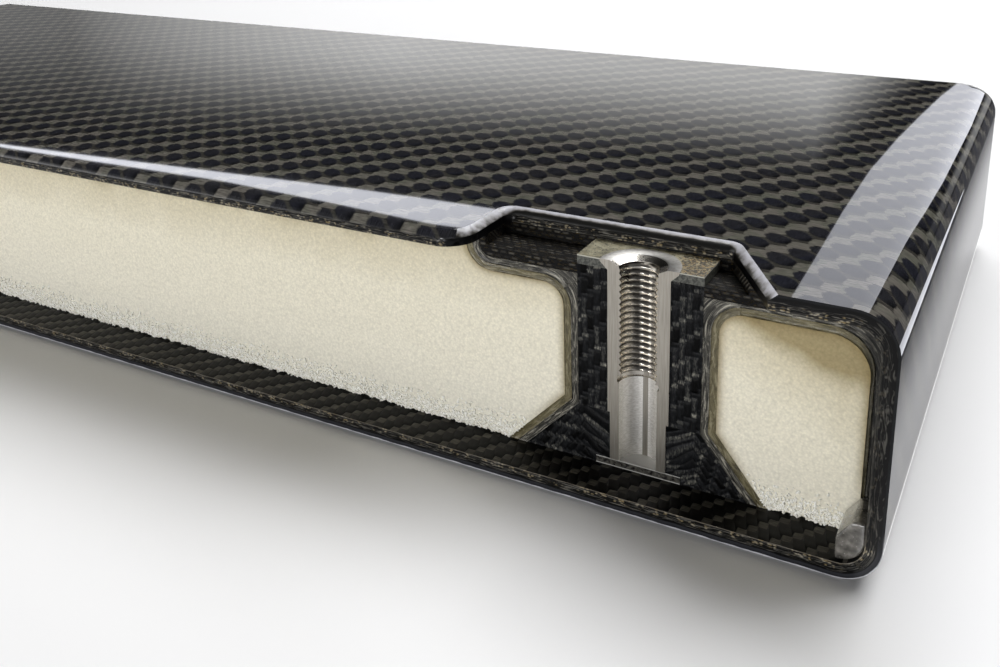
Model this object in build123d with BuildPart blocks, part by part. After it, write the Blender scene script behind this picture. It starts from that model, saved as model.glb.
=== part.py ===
import os
from math import atan2, cos, tan

from build123d import *

# A sample sawn from the corner of a moulded carbon fibre sandwich panel. X runs along the
# panel to its closed end, Y runs back to its closed rear edge, and Z is up. The front shows
# the section through a bonded threaded insert, and the far left end is a plain saw cut.
# The origin is the middle of the underside. Sizes are in millimetres.

# The whole panel.
panel_length = 360.0
panel_depth = 140.0
panel_height = 40.0
skin_thickness = 2.4
edge_radius = 6.0
corner_radius = 10.0
core_recess = 7.0

# The pocket in the top face round the insert.
insert_from_end = 38.0
pocket_floor_depth = 4.2
pocket_left_reach = 26.0
pocket_back_reach = 7.0
pocket_right_reach_back = 12.0
pocket_right_reach_front = 21.0
pocket_corner_radius = 1.6
pocket_lip_radius = 5.0
rim_chamfer = 1.1

# The laminates that carry the insert.
doubler_floor_thickness = 1.6
doubler_wall = 1.2
doubler_radius = 2.0
column_width = 20.0
foot_height = 9.6
foot_flare_left = 9.5
foot_flare_right = 7.5
plate_below_top = 2.7
pad_diameter = 14.0
pad_thickness = 1.3

# The layers between those laminates and the foam.
wrap_thickness = 1.2
bond_thickness = 1.2
right_wrap_under_doubler = 0.5
end_wrap_thickness = 1.6
end_bond_thickness = 0.5
foam_corner_radius = 3.5
foam_end_radius = 5.5

# The threaded insert.
insert_diameter = 10.0
insert_spigot_diameter = 8.8
insert_flange_diameter = 12.5
insert_flange_rim = 0.4
insert_flange_cone = 1.2
thread_diameter = 6.0
thread_pitch = 1.0
thread_depth = 0.54
thread_mouth_diameter = 8.0
groove_diameter = 6.8
groove_height = 1.0
plain_bore_diameter = 6.1
plain_bore_length = 13.8
spigot_chamfer = 0.4

# The bead of resin in the lower corner of the section.
bead_width = 4.0
bead_top_width = 1.8
bead_height = 6.5
bead_side_height = 3.5
bead_radius = 1.2
bead_setback = 0.6

# Places worked out from the sizes above.
end_x = panel_length / 2
left_x = -panel_length / 2
front_y = -panel_depth / 2
rear_y = panel_depth / 2
core_y = front_y + core_recess
core_depth = rear_y - core_y
insert_x = end_x - insert_from_end

inner_end_x = end_x - skin_thickness
inner_top_z = panel_height - skin_thickness
inner_bottom_z = skin_thickness

pocket_floor_z = panel_height - pocket_floor_depth
pocket_left_x = insert_x - pocket_left_reach
pocket_right_back_x = insert_x + pocket_right_reach_back
pocket_right_front_x = insert_x + pocket_right_reach_front
pocket_back_y = core_y + pocket_back_reach

doubler_bottom_z = pocket_floor_z - doubler_floor_thickness
doubler_left_x = pocket_left_x - doubler_wall
doubler_right_x = pocket_right_front_x + doubler_wall
column_left_x = insert_x - column_width / 2
column_right_x = insert_x + column_width / 2
foot_top_z = inner_bottom_z + foot_height
toe_left_x = column_left_x - foot_flare_left
toe_right_x = column_right_x + foot_flare_right
plate_top_z = panel_height - plate_below_top
pad_top_z = inner_bottom_z + pad_thickness
right_bond_top_z = doubler_bottom_z - right_wrap_under_doubler

# The plane of the section, seen from the front.
section = Plane.XZ.offset(-core_y)

os.makedirs("parts", exist_ok=True)


def closed_block(inset):
    """The moulded outline with its closed faces moved in. The two cut faces stay in place."""
    with BuildPart() as block:
        with BuildSketch(Plane.XY.offset(inset)):
            with Locations((left_x, front_y)):
                Rectangle(
                    panel_length - inset, panel_depth - inset, align=(Align.MIN, Align.MIN)
                )
        extrude(amount=panel_height - 2 * inset)
        uprights = block.edges().filter_by(Axis.Z)
        fillet(uprights.sort_by_distance((end_x, rear_y, 0))[0], corner_radius - inset)
        rims = block.faces().filter_by(Axis.Z).edges()
        closed_rims = rims.filter_by(
            lambda rim: rim.center().X > left_x + 1 and rim.center().Y > front_y + 1
        )
        fillet(closed_rims, edge_radius - inset)
    return block.part


# The space inside the skin, which every inner piece is trimmed to.
cavity = closed_block(skin_thickness)


def run_back(outline):
    """A section outline run back through the panel and trimmed to the space in the skin."""
    with BuildPart() as run:
        extrude(outline, amount=core_depth, dir=(0, 1, 0))
        add(cavity, mode=Mode.INTERSECT)
    return run.part


def foot_corner_rise(flare, offset):
    """How far the corner over the foot rises when both of its lines move out."""
    return offset * tan(atan2(flare, foot_height) / 2)


def toe_shift(flare, offset):
    """How far the toe moves sideways when the sloping line moves out."""
    return offset / cos(atan2(flare, foot_height))


def left_outline(offset, corner):
    """The section left of the insert, standing off the foot, the column and the doubler."""
    wall_x = column_left_x - offset
    top_z = doubler_bottom_z - offset
    shoulder_x = doubler_left_x - offset
    with BuildSketch(section) as outline:
        with BuildLine():
            Polyline(
                (left_x, inner_bottom_z),
                (toe_left_x - toe_shift(foot_flare_left, offset), inner_bottom_z),
                (wall_x, foot_top_z + foot_corner_rise(foot_flare_left, offset)),
                (wall_x, top_z),
                (shoulder_x, top_z),
                (shoulder_x, inner_top_z),
                (left_x, inner_top_z),
                close=True,
            )
        make_face()
        corners = outline.vertices()
        fillet(corners.sort_by_distance((shoulder_x, top_z))[0], doubler_radius + offset)
        if corner > 0:
            corners = outline.vertices()
            fillet(corners.sort_by_distance((wall_x, top_z))[0], corner)
    return outline.sketch


def right_outline(offset, top_z, end_offset, corner, end_corner):
    """The rounded section right of the insert, standing off the laminates round it."""
    wall_x = column_right_x + offset
    far_x = inner_end_x - end_offset
    with BuildSketch(section) as outline:
        with BuildLine():
            Polyline(
                (toe_right_x + toe_shift(foot_flare_right, offset), inner_bottom_z),
                (wall_x, foot_top_z + foot_corner_rise(foot_flare_right, offset)),
                (wall_x, top_z),
                (far_x, top_z),
                (far_x, inner_bottom_z),
                close=True,
            )
        make_face()
        corners = outline.vertices()
        fillet(corners.sort_by_distance((wall_x, top_z))[0], corner)
        corners = outline.vertices()
        fillet(corners.sort_by_distance((far_x, top_z))[0], end_corner)
    return outline.sketch


def pocket_space():
    """The space of the pocket, from its floor to the top face and out past the cut edge."""
    past_front_y = front_y - core_recess
    with BuildPart() as space:
        with BuildSketch(Plane.XY.offset(pocket_floor_z)) as outline:
            with BuildLine():
                Polyline(
                    (pocket_left_x, past_front_y),
                    (pocket_left_x, pocket_back_y),
                    (pocket_right_back_x, pocket_back_y),
                    (pocket_right_front_x, front_y),
                    (pocket_right_front_x, past_front_y),
                    close=True,
                )
            make_face()
            fillet(outline.vertices().group_by(Axis.Y)[-1], pocket_corner_radius)
        extrude(amount=pocket_floor_depth)
    return space.part


def pocket_block(bottom_z, top_z):
    """A block as wide as the column and as deep as the pocket, between two heights."""
    with BuildPart() as block:
        with BuildSketch(Plane.XY.offset(bottom_z)):
            with Locations((insert_x, core_y)):
                Rectangle(column_width, pocket_back_reach, align=(Align.CENTER, Align.MIN))
        extrude(amount=top_z - bottom_z)
    return block.part


def insert_outside():
    """The insert's outer outline from the top down: flange, cone, body, step and spigot."""
    flange_radius = insert_flange_diameter / 2
    body_radius = insert_diameter / 2
    spigot_radius = insert_spigot_diameter / 2
    rim_z = plate_top_z - insert_flange_rim
    return [
        (flange_radius, plate_top_z),
        (flange_radius, rim_z),
        (body_radius, rim_z - insert_flange_cone),
        (body_radius, foot_top_z),
        (spigot_radius, foot_top_z),
        (spigot_radius, pad_top_z + spigot_chamfer),
        (spigot_radius - spigot_chamfer, pad_top_z),
    ]


def insert_bore():
    """The bore from the bottom up: plain bore, relief groove, thread vees and the mouth."""
    plain_radius = plain_bore_diameter / 2
    groove_radius = groove_diameter / 2
    root_radius = thread_diameter / 2
    crest_radius = root_radius - thread_depth
    mouth_radius = thread_mouth_diameter / 2
    ledge_z = pad_top_z + plain_bore_length
    thread_bottom_z = ledge_z + groove_height
    thread_top_z = plate_top_z - (mouth_radius - crest_radius)
    turns = int((thread_top_z - thread_bottom_z) / thread_pitch)

    bore = [
        (plain_radius, pad_top_z),
        (plain_radius, ledge_z),
        (groove_radius, ledge_z),
        (groove_radius, thread_bottom_z),
        (crest_radius, thread_bottom_z),
    ]
    for turn in range(turns):
        start_z = thread_bottom_z + turn * thread_pitch
        bore.append((root_radius, start_z + thread_pitch / 2))
        bore.append((crest_radius, start_z + thread_pitch))
    bore.append((crest_radius, thread_top_z))
    bore.append((mouth_radius, plate_top_z))
    return bore


def turned_half(outline):
    """An outline beside the insert's axis turned through the half behind the section."""
    axis_plane = Plane(origin=(insert_x, core_y, 0), x_dir=(1, 0, 0), z_dir=(0, -1, 0))
    with BuildPart() as turned:
        with BuildSketch(axis_plane):
            with BuildLine():
                Polyline(outline, close=True)
            make_face()
        revolve(axis=Axis((insert_x, core_y, 0), (0, 0, 1)), revolution_arc=180)
    return turned.part


# What the insert takes out of the pieces that it is bonded into.
insert_space = turned_half([(0, pad_top_z), (0, plate_top_z)] + insert_outside())

# The outer skin: one moulded laminate over the top, the end, the rear edge and the underside.
# The pocket is open through its top face and breaks out of the cut edge.
with BuildPart() as outer_skin:
    add(closed_block(0))
    add(cavity, mode=Mode.SUBTRACT)
    add(pocket_space(), mode=Mode.SUBTRACT)
    uprights = outer_skin.edges().filter_by(Axis.Z)
    fillet(uprights.sort_by_distance((pocket_left_x, front_y, panel_height))[0], pocket_lip_radius)
    top_edges = outer_skin.faces().sort_by(Axis.Z)[-1].edges()
    pocket_rim = top_edges.filter_by(
        lambda rim: abs(rim.center().X - insert_x) < pocket_left_reach + pocket_lip_radius
        and front_y + 0.01 < rim.center().Y < pocket_back_y + 0.01
    )
    chamfer(pocket_rim, rim_chamfer)
outer_skin.part.label = "outer_skin"
export_step(outer_skin.part, "parts/outer_skin.step")

# The doubler under the top skin. The pocket is sunk in it, and the column's seat comes
# up through the pocket's floor.
with BuildPart() as top_doubler:
    with BuildSketch(section) as doubler_outline:
        with BuildLine():
            Polyline(
                (doubler_left_x, doubler_bottom_z),
                (doubler_right_x, doubler_bottom_z),
                (doubler_right_x, inner_top_z),
                (doubler_left_x, inner_top_z),
                close=True,
            )
        make_face()
        fillet(doubler_outline.vertices().group_by(Axis.Y)[0], doubler_radius)
    extrude(amount=-core_depth)
    add(cavity, mode=Mode.INTERSECT)
    add(pocket_space(), mode=Mode.SUBTRACT)
    add(pocket_block(doubler_bottom_z, pocket_floor_z), mode=Mode.SUBTRACT)
top_doubler.part.label = "top_doubler"
export_step(top_doubler.part, "parts/top_doubler.step")

# The column of woven laminate round the insert: a rail through the panel, with a seat for
# the top plate that stands up through the doubler.
with BuildPart() as hardpoint_column:
    with BuildSketch(section):
        with Locations((insert_x, foot_top_z)):
            Rectangle(
                column_width, doubler_bottom_z - foot_top_z, align=(Align.CENTER, Align.MIN)
            )
    extrude(amount=-core_depth)
    add(cavity, mode=Mode.INTERSECT)
    add(pocket_block(doubler_bottom_z, pocket_floor_z))
    add(insert_space, mode=Mode.SUBTRACT)
hardpoint_column.part.label = "hardpoint_column"
export_step(hardpoint_column.part, "parts/hardpoint_column.step")

# The flared foot that spreads the column's load on the lower skin.
with BuildPart() as hardpoint_foot:
    with BuildSketch(section):
        with BuildLine():
            Polyline(
                (toe_left_x, inner_bottom_z),
                (toe_right_x, inner_bottom_z),
                (column_right_x, foot_top_z),
                (column_left_x, foot_top_z),
                close=True,
            )
        make_face()
    extrude(amount=-core_depth)
    add(cavity, mode=Mode.INTERSECT)
    add(insert_space, mode=Mode.SUBTRACT)
    with BuildSketch(Plane.XY.offset(inner_bottom_z)):
        with Locations((insert_x, core_y)):
            Circle(pad_diameter / 2)
    extrude(amount=pad_thickness, mode=Mode.SUBTRACT)
hardpoint_foot.part.label = "hardpoint_foot"
export_step(hardpoint_foot.part, "parts/hardpoint_foot.step")

# The ground plate in the pocket, flush with the top of the insert.
with BuildPart() as top_plate:
    add(pocket_block(pocket_floor_z, plate_top_z))
    add(insert_space, mode=Mode.SUBTRACT)
top_plate.part.label = "top_plate"
export_step(top_plate.part, "parts/top_plate.step")

# The round pad under the insert, sectioned with it.
with BuildPart() as base_pad:
    add(
        turned_half(
            [
                (0, inner_bottom_z),
                (0, pad_top_z),
                (pad_diameter / 2, pad_top_z),
                (pad_diameter / 2, inner_bottom_z),
            ]
        )
    )
base_pad.part.label = "base_pad"
export_step(base_pad.part, "parts/base_pad.step")

# The threaded insert, sectioned through its axis. Each turn of its thread is a vee groove.
with BuildPart() as threaded_insert:
    add(turned_half(insert_outside() + insert_bore()))
threaded_insert.part.label = "threaded_insert"
export_step(threaded_insert.part, "parts/threaded_insert.step")

# The outlines of the layers on each side, from the foam outwards.
left_foam = left_outline(wrap_thickness + bond_thickness, foam_corner_radius)
left_bond = left_outline(wrap_thickness, foam_corner_radius + bond_thickness)
left_wrap = left_outline(0, 0)
right_foam = right_outline(
    wrap_thickness + bond_thickness,
    right_bond_top_z - bond_thickness,
    end_wrap_thickness + end_bond_thickness,
    foam_corner_radius,
    foam_end_radius,
)
right_bond = right_outline(
    wrap_thickness,
    right_bond_top_z,
    end_wrap_thickness,
    foam_corner_radius + bond_thickness,
    foam_end_radius + end_bond_thickness,
)
with BuildSketch(section) as right_wrap:
    with BuildLine():
        Polyline(
            (toe_right_x, inner_bottom_z),
            (column_right_x, foot_top_z),
            (column_right_x, doubler_bottom_z),
            (doubler_right_x, doubler_bottom_z),
            (doubler_right_x, inner_top_z),
            (inner_end_x, inner_top_z),
            (inner_end_x, inner_bottom_z),
            close=True,
        )
    make_face()
    under_doubler = right_wrap.vertices().sort_by_distance((doubler_right_x, doubler_bottom_z))
    fillet(under_doubler[0], doubler_radius)

# The foam cores. The left one ends at the saw cut.
with BuildPart() as foam_core_left:
    add(run_back(left_foam))
foam_core_left.part.label = "foam_core_left"
export_step(foam_core_left.part, "parts/foam_core_left.step")

with BuildPart() as foam_core_right:
    add(run_back(right_foam))
foam_core_right.part.label = "foam_core_right"
export_step(foam_core_right.part, "parts/foam_core_right.step")

# The bond lines of cured resin round the foam.
with BuildPart() as bond_line_left:
    add(run_back(left_bond))
    add(foam_core_left.part, mode=Mode.SUBTRACT)
bond_line_left.part.label = "bond_line_left"
export_step(bond_line_left.part, "parts/bond_line_left.step")

with BuildPart() as bond_line_right:
    add(run_back(right_bond))
    add(foam_core_right.part, mode=Mode.SUBTRACT)
bond_line_right.part.label = "bond_line_right"
export_step(bond_line_right.part, "parts/bond_line_right.step")

# The laminate wraps that tie the cores to the doubler, the column, the foot and the skin.
with BuildPart() as core_wrap_left:
    add(run_back(left_wrap))
    add(run_back(left_bond), mode=Mode.SUBTRACT)
core_wrap_left.part.label = "core_wrap_left"
export_step(core_wrap_left.part, "parts/core_wrap_left.step")

with BuildPart() as core_wrap_right:
    add(run_back(right_wrap.sketch))
    add(run_back(right_bond), mode=Mode.SUBTRACT)
core_wrap_right.part.label = "core_wrap_right"
export_step(core_wrap_right.part, "parts/core_wrap_right.step")

# The bead of resin that ran into the lower corner in front of the section.
with BuildPart() as resin_bead:
    with BuildSketch(Plane.XZ.offset(-front_y - bead_setback)) as bead_outline:
        with BuildLine():
            Polyline(
                (inner_end_x, inner_bottom_z),
                (inner_end_x, inner_bottom_z + bead_height),
                (inner_end_x - bead_top_width, inner_bottom_z + bead_height),
                (inner_end_x - bead_width, inner_bottom_z + bead_side_height),
                (inner_end_x - bead_width, inner_bottom_z),
                close=True,
            )
        make_face()
        bead_corners = bead_outline.vertices().filter_by(
            lambda corner: corner.X < inner_end_x - 1 and corner.Y > inner_bottom_z + 1
        )
        fillet(bead_corners, bead_radius)
    extrude(amount=bead_setback - core_recess)
    add(cavity, mode=Mode.INTERSECT)
resin_bead.part.label = "resin_bead"
export_step(resin_bead.part, "parts/resin_bead.step")
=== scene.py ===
import math
import random
from functools import partial

import bmesh
import bpy
from mathutils import Matrix, Vector, geometry, noise


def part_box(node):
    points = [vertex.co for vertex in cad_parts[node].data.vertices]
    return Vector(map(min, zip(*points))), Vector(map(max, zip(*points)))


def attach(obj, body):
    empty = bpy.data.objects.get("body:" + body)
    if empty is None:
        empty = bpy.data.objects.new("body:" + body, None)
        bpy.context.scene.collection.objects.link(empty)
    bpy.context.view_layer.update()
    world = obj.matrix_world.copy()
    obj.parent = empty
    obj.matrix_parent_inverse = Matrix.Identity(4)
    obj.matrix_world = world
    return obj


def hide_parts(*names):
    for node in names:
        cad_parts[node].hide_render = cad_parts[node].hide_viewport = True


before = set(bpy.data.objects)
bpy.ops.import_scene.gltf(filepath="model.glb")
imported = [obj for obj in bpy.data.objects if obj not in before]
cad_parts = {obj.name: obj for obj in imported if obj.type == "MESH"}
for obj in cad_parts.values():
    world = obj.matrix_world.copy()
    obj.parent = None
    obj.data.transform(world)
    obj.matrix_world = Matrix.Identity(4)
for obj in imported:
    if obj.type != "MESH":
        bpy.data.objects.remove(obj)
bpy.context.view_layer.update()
print("frame loaded:", len(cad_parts), "solids")

mm = 0.001

# Places read from the solids, so that every piece here follows them.
skinLow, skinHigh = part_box("outer_skin")
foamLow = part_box("foam_core_left")[0]
insertLow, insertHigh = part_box("threaded_insert")
frontY, rearY = skinLow[1], skinHigh[1]
sectionY = foamLow[1]
endX, topZ = skinHigh[0], skinHigh[2]
skinThickness = foamLow[2] - skinLow[2]
insertX = (insertLow[0] + insertHigh[0]) / 2


def linear(hexColour):
    # an sRGB hex value as a linear colour
    channels = [int(hexColour[i : i + 2], 16) / 255 for i in (0, 2, 4)]
    return [c / 12.92 if c <= 0.04045 else ((c + 0.055) / 1.055) ** 2.4 for c in channels] + [1]


modeNames = {
    "Math": "operation", "VectorMath": "operation", "MapRange": "interpolation_type",
    "Mix": "data_type",
}


def addNode(tree, kind, settings, *values):
    # a node with its settings, of which a single word is its mode; the values go to its inputs
    # in order, a node or socket as a link, a hex string as a colour
    other = kind.startswith(("Geometry", "Function", "NodeGroup"))
    node = tree.nodes.new(kind if other else "ShaderNode" + kind)
    if isinstance(settings, str):
        settings = {modeNames[kind]: settings}
    sockets = dict(enumerate(values))
    for name, value in settings.items():
        if hasattr(node, name):
            setattr(node, name, value)
        else:
            sockets[name] = value
    shown = [socket for socket in node.inputs if socket.enabled]
    for name, value in sockets.items():
        socket = shown[name] if isinstance(name, int) else node.inputs[name]
        if isinstance(value, bpy.types.Node):
            value = next(output for output in value.outputs if output.enabled)
        if isinstance(value, bpy.types.NodeSocket):
            tree.links.new(value, socket)
        elif value is not None:
            socket.default_value = linear(value) if isinstance(value, str) else value
    return node


def newMaterial(name, surface):
    # a material around one shader with its fixed values; returns the adder and the shader too
    material = bpy.data.materials.new(name)
    material.use_nodes = True
    tree = material.node_tree
    tree.nodes.clear()
    add = partial(addNode, tree)
    shader = add("BsdfPrincipled", surface)
    add("OutputMaterial", {}, shader)
    return material, add, shader


def setStops(rampNode, stops):
    # the stops of a colour ramp, as places and hex colours
    elements = rampNode.color_ramp.elements
    while len(elements) < len(stops):
        elements.new(0.5)
    for element, (place, colour) in zip(elements, stops):
        element.position = place
        element.color = linear(colour)
    return rampNode


def linkTo(shader, name, value):
    output = next(output for output in value.outputs if output.enabled)
    shader.id_data.links.new(output, shader.inputs[name])


def finishShader(add, shader, colour, height, strength, depth):
    # the shader's colour, and its bump with a depth in millimetres
    linkTo(shader, "Base Color", colour)
    bump = add("Bump", {"Strength": strength, "Distance": depth * mm, "Height": height})
    linkTo(shader, "Normal", bump)


def objectPlace(add):
    # the place on the object, then its x, y and z
    place = add("TexCoord", {}).outputs["Object"]
    return place, *add("SeparateXYZ", {}, place).outputs


def faded(add, value, *spans):
    # the value times a ramp over each span: mode, place, from, to, and the levels there
    for span in spans:
        value = add("Math", "MULTIPLY", value, add("MapRange", *span))
    return value


def powerOff(add, value, half, power):
    # how far off nought the value lies, as a share of half its width, raised to a power
    share = add("Math", "ABSOLUTE", add("Math", "DIVIDE", value, half))
    return add("Math", "POWER", share, power)


def stretchedNoise(add, place, sizes, settings):
    # noise stretched to a size in millimetres along each axis, flat where there are two
    scale = [1 / (size * mm) for size in sizes] + [1.0] * (3 - len(sizes))
    stretched = add("Mapping", {"Scale": scale}, place)
    return add("TexNoise", {
        "noise_dimensions": "%dD" % len(sizes), "Scale": 1.0, **settings,
    }, stretched)


# Camera: the photograph's viewpoint, in millimetres and degrees.
cameraSetup = {
    "place": (193.92, -187.14, 95.25),
    "turn": 27.46,
    "pitch": 17.31,
    "roll": -0.95,
    "sensor": 36,
    "lens": 36.097,
    "shift": (-0.06, -0.1735),
    "clip": (0.005, 30),  # metres
}


def makeCamera():
    data = bpy.data.cameras.new("camera")
    camera = bpy.data.objects.new("camera", data)
    bpy.context.scene.collection.objects.link(camera)
    turn = Matrix.Rotation(math.radians(cameraSetup["turn"]), 4, "Z")
    tilt = Matrix.Rotation(math.radians(90 - cameraSetup["pitch"]), 4, "X")
    roll = Matrix.Rotation(math.radians(cameraSetup["roll"]), 4, "Z")
    place = Matrix.Translation(Vector(cameraSetup["place"]) * mm)
    camera.matrix_world = place @ turn @ tilt @ roll
    data.sensor_width = cameraSetup["sensor"]
    data.lens = cameraSetup["lens"]
    data.shift_x, data.shift_y = cameraSetup["shift"]
    data.clip_start, data.clip_end = cameraSetup["clip"]
    bpy.context.scene.camera = camera


# Studio: a white floor, a dim pale world, a soft lamp behind the panel and a low one in front,
# and cards that only the gloss sees.
studio = {
    "floorHalf": 4.0,
    "floorColour": "f4f4f5",
    # painted reflection: the floor's colours as the gloss alone sees them, near the end and farther
    # off
    "floorInGloss": "dcdcde",
    "floorFarInGloss": "505054",
    # painted highlight: how brightly the floor glows for the gloss along the end's foot
    "footGlowInGloss": 0.9,
    "cardTint": "f4f6ff",
    "ambient": 0.09,
    "aimHeight": 0.02,
    "overPlace": (0.42, 0.74, 1.35),
    "overSize": (1.6, 0.9),
    "overPower": 33.0,
    "frontPlace": (-0.35, -1.75, 0.18),
    "frontSize": (1.8, 0.24),
    "frontPower": 21.0,
}
# the room that the gloss sees, by the direction it looks in: each place and level of light
glossRoom = {
    "wallClimb": (0.062, 0.280),
    "wallCorner": (-0.9, 0.065),
    "wallTop": (-0.05, 0.045, 1.0, 0.0),
    "wallDim": (-1.35, -0.75, 0.3, 1.5),
    "room": (-0.2, -0.02, 0.55, 0.0),
    "ceiling": (0.3, 0.6, 1.0, 0.12),
    "window": (-0.55, -0.72, 1.0, 4.5),
    "lowLeft": (0.10, 0.18, 0.0, 0.7),
    "lowRight": (0.26, 0.42, 1.0, 0.0),
    "lowFoot": (-0.02, 0.02, 0.0, 1.0),
    "lowTop": (0.07, 0.16, 1.0, 0.0),
}
# the cards' corners, and the strength of their light at the left and the right end
reflectionCards = {
    "stripCard": {
        "corners": [
            (-2.6, 1.44), (-2.34, 1.443), (-1.94, 1.461), (-1.6, 1.477), (-1.26, 1.464),
            (-0.97, 1.448), (-0.885, 1.455), (-0.872, 1.48), (-0.875, 1.583), (-1.05, 1.577),
            (-1.25, 1.565), (-1.54, 1.537), (-1.9, 1.503), (-2.36, 1.463), (-2.6, 1.45),
        ],
        "height": 0.74,
        "strength": (3.4, 3.1),
    },
    "bandCard": {
        "corners": [
            (-0.185, 1.3), (0.38, 1.3), (0.4, 1.5), (0.46, 1.8), (0.66, 2.28), (0.87, 2.93),
            (1.1, 4.3), (0.2, 4.2), (-0.05, 3.6), (-0.12, 3.28), (-0.15, 3.03), (-0.171, 2.77),
            (-0.19, 2.5), (-0.203, 2.2), (-0.2, 1.88), (-0.192, 1.6),
        ],
        "height": 0.74,
        "strength": (1.75, 2.9),
    },
    # the wedge of light down the near half of the rounded end
    "wedgeCard": {
        "corners": [
            (0.194, -0.03), (0.228, 0.02), (0.220, 0.08), (0.211, 0.13), (0.207, 0.13),
            (0.201, 0.06),
        ],
        "height": 0.001,
        "strength": (1.9, 1.9),
    },
}


def makeWorld():
    world = bpy.data.worlds.new("studio")
    bpy.context.scene.world = world
    world.use_nodes = True
    tree = world.node_tree
    tree.nodes.clear()
    add = partial(addNode, tree)
    path = add("LightPath", {})
    direction = add("TexCoord", {}).outputs["Generated"]
    x, y, z = add("SeparateXYZ", {}, direction).outputs
    # behind the panel the gloss sees a white wall whose upper edge fades; the edge climbs
    # towards the right, falls off at the corner, and the wall dims towards the far left
    aside = add("Math", "DIVIDE", x, add("Math", "MAXIMUM", y, 0.05))
    climb = add("Math", "MULTIPLY_ADD", aside, *glossRoom["wallClimb"])
    corner = add("Math", "MULTIPLY_ADD", aside, *glossRoom["wallCorner"])
    over = add("Math", "SUBTRACT", z, add("Math", "MINIMUM", climb, corner))
    wall = add("MapRange", "SMOOTHSTEP", over, *glossRoom["wallTop"])
    glow = faded(add, wall, ("LINEAR", aside, *glossRoom["wallDim"]))
    # in front of it an even pale room, for the cut faces and the steel, with a window at its
    # far left, for the long highlight down the plain bore
    front = faded(
        add, add("MapRange", "SMOOTHSTEP", y, *glossRoom["room"]),
        ("SMOOTHSTEP", z, *glossRoom["ceiling"]), ("SMOOTHSTEP", x, *glossRoom["window"]),
    )
    # and to its right a low soft light, for the far half of the rounded end
    low = faded(
        add, add("MapRange", "SMOOTHSTEP", aside, *glossRoom["lowLeft"]),
        ("SMOOTHSTEP", aside, *glossRoom["lowRight"]), ("SMOOTHSTEP", z, *glossRoom["lowFoot"]),
        ("SMOOTHSTEP", z, *glossRoom["lowTop"]),
    )
    gloss = add("Math", "MAXIMUM", add("Math", "MAXIMUM", glow, front), low)
    level = add("Mix", "FLOAT", path.outputs["Is Glossy Ray"], studio["ambient"], gloss)
    level = add("Mix", "FLOAT", path.outputs["Is Camera Ray"], level, 1.0)
    add("OutputWorld", {}, add("Background", {"Strength": level}))


def flatShape(name, corners):
    mesh = bpy.data.meshes.new(name)
    mesh.from_pydata(corners, [], [tuple(range(len(corners)))])
    shape = bpy.data.objects.new(name, mesh)
    bpy.context.scene.collection.objects.link(shape)
    return shape


def softLamp(name, place, size, power):
    data = bpy.data.lights.new(name, "AREA")
    data.shape = "RECTANGLE"
    data.size, data.size_y = size
    data.energy = power
    lamp = bpy.data.objects.new(name, data)
    bpy.context.scene.collection.objects.link(lamp)
    aim = Vector((insertX, sectionY, studio["aimHeight"])) - Vector(place)
    turn = aim.to_track_quat("-Z", "Y").to_matrix().to_4x4()
    lamp.matrix_world = Matrix.Translation(place) @ turn


def makeStudio():
    half = studio["floorHalf"]
    corners = [(-half, -half, 0), (half, -half, 0), (half, half, 0), (-half, half, 0)]
    floor = flatShape("floor", corners)
    paper, add, shader = newMaterial("whitePaperFloor", {
        "Roughness": 0.9, "Specular IOR Level": 0.0, "Emission Color": "ffffff",
    })
    # painted reflection: for gloss rays only, the floor beyond the end darkens within a few
    # millimetres, so the end face reflects a dimmer floor than the camera sees
    inGloss = add("LightPath", {}).outputs["Is Glossy Ray"]
    _, aside, _, _ = objectPlace(add)
    far = add("MapRange", "SMOOTHSTEP", aside, endX + 2.5 * mm, endX + 9.5 * mm, 0.0, 1.0)
    glossTone = add("Mix", "RGBA", far, studio["floorInGloss"], studio["floorFarInGloss"])
    linkTo(shader, "Base Color", add("Mix", "RGBA", inGloss, studio["floorColour"], glossTone))
    # and a painted highlight: for gloss rays only, the floor glows in a thin line at the foot of
    # the end
    line = add(
        "MapRange", "SMOOTHSTEP", aside, endX + 0.5 * mm, endX + 1.2 * mm, studio["footGlowInGloss"], 0.0)
    line = faded(add, line, ("LINEAR", aside, endX - 4 * mm, endX - 3 * mm, 0.0, 1.0))
    linkTo(shader, "Emission Strength", add("Math", "MULTIPLY", line, inGloss))
    floor.data.materials.append(paper)
    for name, card in reflectionCards.items():
        shape = flatShape(name, [(x, y, card["height"]) for x, y in card["corners"]])
        light, add, shader = newMaterial(name + "Light", {
            "Base Color": "000000", "Specular IOR Level": 0.0, "Emission Color": studio["cardTint"],
        })
        left, right = (end(x for x, y in card["corners"]) for end in (min, max))
        span = (left, left + 0.7 * (right - left), *card["strength"])
        linkTo(shader, "Emission Strength", add("MapRange", "LINEAR", objectPlace(add)[1], *span))
        shape.data.materials.append(light)
        shape.visible_camera = shape.visible_diffuse = shape.visible_shadow = False
        shape.visible_transmission = shape.visible_volume_scatter = False
    for lamp in ("over", "front"):
        softLamp(lamp + "Lamp", *(studio[lamp + part] for part in ("Place", "Size", "Power")))


def newPiece(name, mesh):
    mesh.name = name
    piece = bpy.data.objects.new(name, mesh)
    bpy.context.scene.collection.objects.link(piece)
    return piece


def reworked(mesh, change):
    # the mesh, changed in place through a bmesh
    work = bmesh.new()
    work.from_mesh(mesh)
    change(work)
    work.to_mesh(mesh)
    work.free()
    return mesh


def weld(work):
    bmesh.ops.remove_doubles(work, verts=work.verts, dist=1e-6)
    bmesh.ops.dissolve_degenerate(work, edges=work.edges, dist=1e-7)


def mergedCopy(node, name):
    # a welded copy of a solid's mesh as a new object
    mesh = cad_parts[node].data.copy()
    mesh.materials.clear()
    return newPiece(name, reworked(mesh, weld))


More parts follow.
